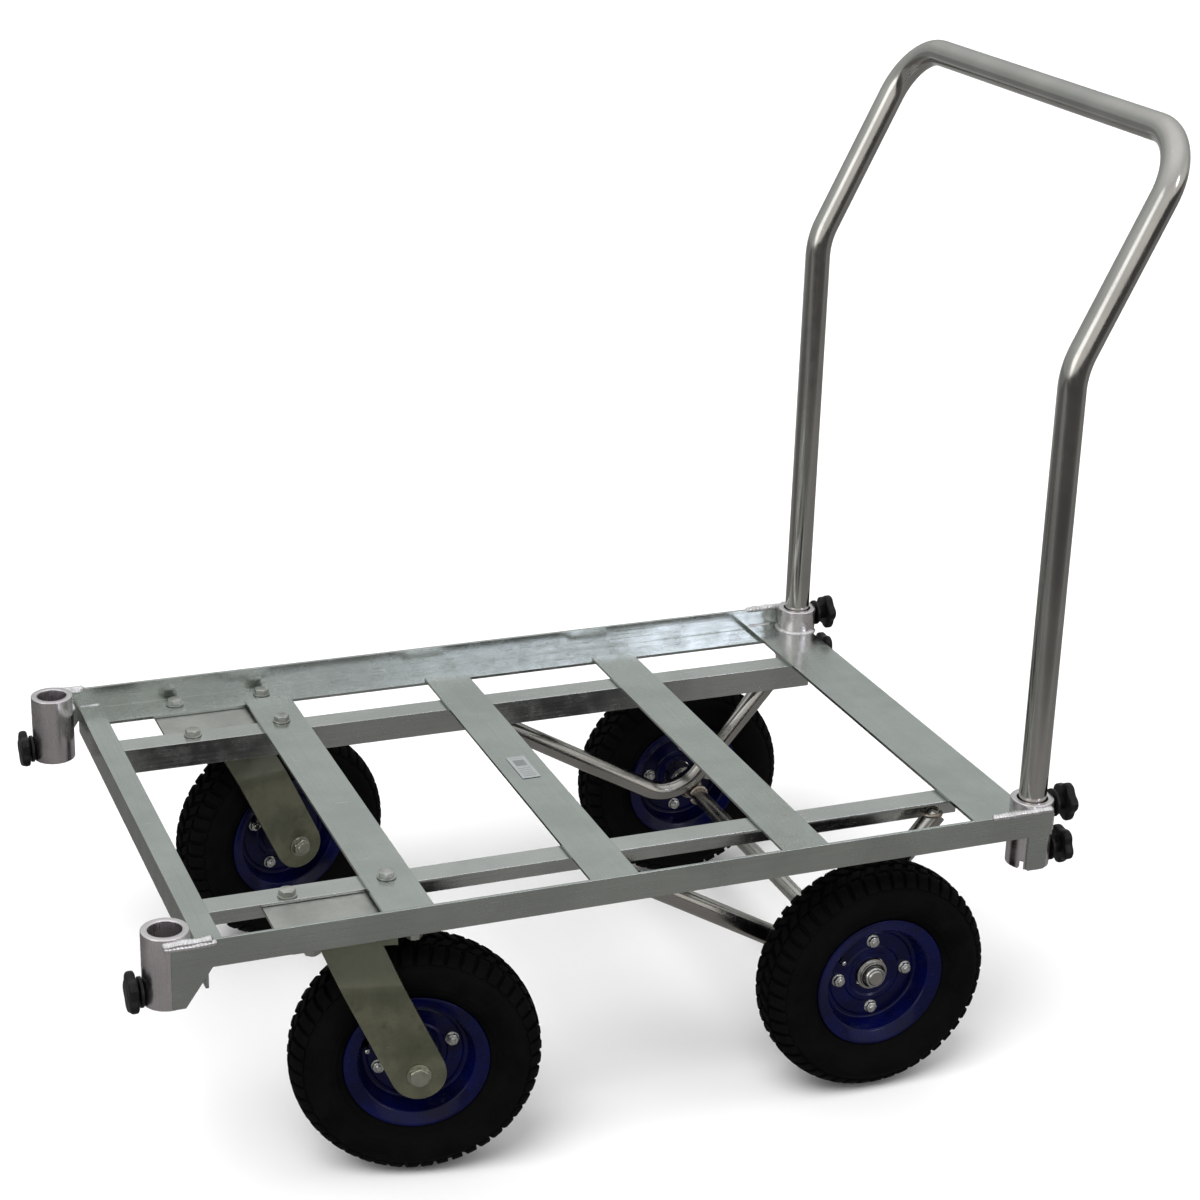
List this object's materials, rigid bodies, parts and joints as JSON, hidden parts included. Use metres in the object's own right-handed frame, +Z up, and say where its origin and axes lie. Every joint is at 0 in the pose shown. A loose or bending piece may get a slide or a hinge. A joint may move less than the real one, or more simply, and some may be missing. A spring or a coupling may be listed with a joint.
{
  "type": "platform cart",
  "caption": "Open-frame platform cart with a lift-out bent-tube push handle, corner clamp sockets, swivel casters in front and fixed pneumatic wheels behind.",
  "frame": {"origin": "centre of the footprint, on the ground", "axes": "+Z up, +X from the swivel casters towards the push handle, +Y to the cart's right side"},
  "size_m": [0.9427, 0.5524, 0.8869],
  "materials": {
    "frame_alloy": "mill, slightly dull",
    "handle_alloy": "polished tube",
    "zinc": "zinc plated, matt",
    "axle_steel": "turned",
    "rim_paint": "gloss navy",
    "tyre": "moulded rubber",
    "knob_plastic": "fine grain",
    "label_film": "printed film, blank"
  },
  "bodies": {
    "frame": {"axle_nut_left": "zinc", "axle_nut_right": "zinc", "axle_strut_left": "frame_alloy", "axle_strut_right": "frame_alloy", "bolt_front_inner_left": "zinc", "bolt_front_inner_right": "zinc", "bolt_front_outer_left": "zinc", "bolt_front_outer_right": "zinc", "bolt_rear_inner_left": "zinc", "bolt_rear_inner_right": "zinc", "bolt_rear_outer_left": "zinc", "bolt_rear_outer_right": "zinc", "caster_plate_left": "zinc", "caster_plate_right": "zinc", "caster_race_left": "zinc", "caster_race_right": "zinc", "crossbar_2": "frame_alloy", "crossbar_3": "frame_alloy", "crossbar_4": "frame_alloy", "crossbar_front": "frame_alloy", "crossbar_rear": "frame_alloy", "inner_rail_left": "frame_alloy", "inner_rail_right": "frame_alloy", "label": "label_film", "rail_left": "frame_alloy", "rail_right": "frame_alloy", "rear_axle": "axle_steel", "socket_front_left": "frame_alloy", "socket_front_right": "frame_alloy", "socket_rear_left": "frame_alloy", "socket_rear_right": "frame_alloy"},
    "handle": {"handle": "handle_alloy"},
    "swivel_left": {"fork_left": "zinc", "kingpin_left": "zinc", "caster_axle_left": "zinc"},
    "wheel_front_left": {"tyre_front_left": "tyre", "rim_front_left": "rim_paint", "hub_front_left": "axle_steel"},
    "wheel_rear_left": {"tyre_rear_left": "tyre", "rim_rear_left": "rim_paint", "hub_rear_left": "axle_steel"},
    "clamp_front_left": {"knob_front_left": "knob_plastic"},
    "clamp_rear_upper_left": {"knob_rear_upper_left": "knob_plastic"},
    "clamp_rear_lower_left": {"knob_rear_lower_left": "knob_plastic"},
    "swivel_right": {"fork_right": "zinc", "kingpin_right": "zinc", "caster_axle_right": "zinc"},
    "wheel_front_right": {"tyre_front_right": "tyre", "rim_front_right": "rim_paint", "hub_front_right": "axle_steel"},
    "wheel_rear_right": {"tyre_rear_right": "tyre", "rim_rear_right": "rim_paint", "hub_rear_right": "axle_steel"},
    "clamp_front_right": {"knob_front_right": "knob_plastic"},
    "clamp_rear_upper_right": {"knob_rear_upper_right": "knob_plastic"},
    "clamp_rear_lower_right": {"knob_rear_lower_right": "knob_plastic"}
  },
  "joints": [
    {"name": "handle_lift", "type": "slide", "parent": "frame", "child": "handle", "axis": [0, 0, 1], "range_m": [0, 0.12]},
    {"name": "caster_swivel_left", "type": "hinge", "parent": "frame", "child": "swivel_left", "pos_m": [-0.274, -0.214, 0.237], "axis": [0, 0, 1], "continuous": true},
    {"name": "wheel_spin_front_left", "type": "hinge", "parent": "swivel_left", "child": "wheel_front_left", "pos_m": [-0.2203, -0.2259, 0.11], "axis": [0.2164, 0.9763, 0], "continuous": true},
    {"name": "wheel_spin_rear_left", "type": "hinge", "parent": "frame", "child": "wheel_rear_left", "pos_m": [0.218, -0.228, 0.11], "axis": [0, 1, 0], "continuous": true},
    {"name": "clamp_turn_front_left", "type": "hinge", "parent": "frame", "child": "clamp_front_left", "pos_m": [-0.439, -0.25, 0.223], "axis": [-1, 0, 0], "range_deg": [0, 720]},
    {"name": "clamp_turn_rear_upper_left", "type": "hinge", "parent": "frame", "child": "clamp_rear_upper_left", "pos_m": [0.361, -0.25, 0.268], "axis": [1, 0, 0], "range_deg": [0, 720]},
    {"name": "clamp_turn_rear_lower_left", "type": "hinge", "parent": "frame", "child": "clamp_rear_lower_left", "pos_m": [0.361, -0.25, 0.224], "axis": [1, 0, 0], "range_deg": [0, 720]},
    {"name": "caster_swivel_right", "type": "hinge", "parent": "frame", "child": "swivel_right", "pos_m": [-0.274, 0.214, 0.237], "axis": [0, 0, 1], "continuous": true},
    {"name": "wheel_spin_front_right", "type": "hinge", "parent": "swivel_right", "child": "wheel_front_right", "pos_m": [-0.2203, 0.2259, 0.11], "axis": [-0.2164, 0.9763, 0], "continuous": true},
    {"name": "wheel_spin_rear_right", "type": "hinge", "parent": "frame", "child": "wheel_rear_right", "pos_m": [0.218, 0.228, 0.11], "axis": [0, 1, 0], "continuous": true},
    {"name": "clamp_turn_front_right", "type": "hinge", "parent": "frame", "child": "clamp_front_right", "pos_m": [-0.439, 0.25, 0.223], "axis": [-1, 0, 0], "range_deg": [0, 720]},
    {"name": "clamp_turn_rear_upper_right", "type": "hinge", "parent": "frame", "child": "clamp_rear_upper_right", "pos_m": [0.361, 0.25, 0.268], "axis": [1, 0, 0], "range_deg": [0, 720]},
    {"name": "clamp_turn_rear_lower_right", "type": "hinge", "parent": "frame", "child": "clamp_rear_lower_right", "pos_m": [0.361, 0.25, 0.224], "axis": [1, 0, 0], "range_deg": [0, 720]}
  ]
}
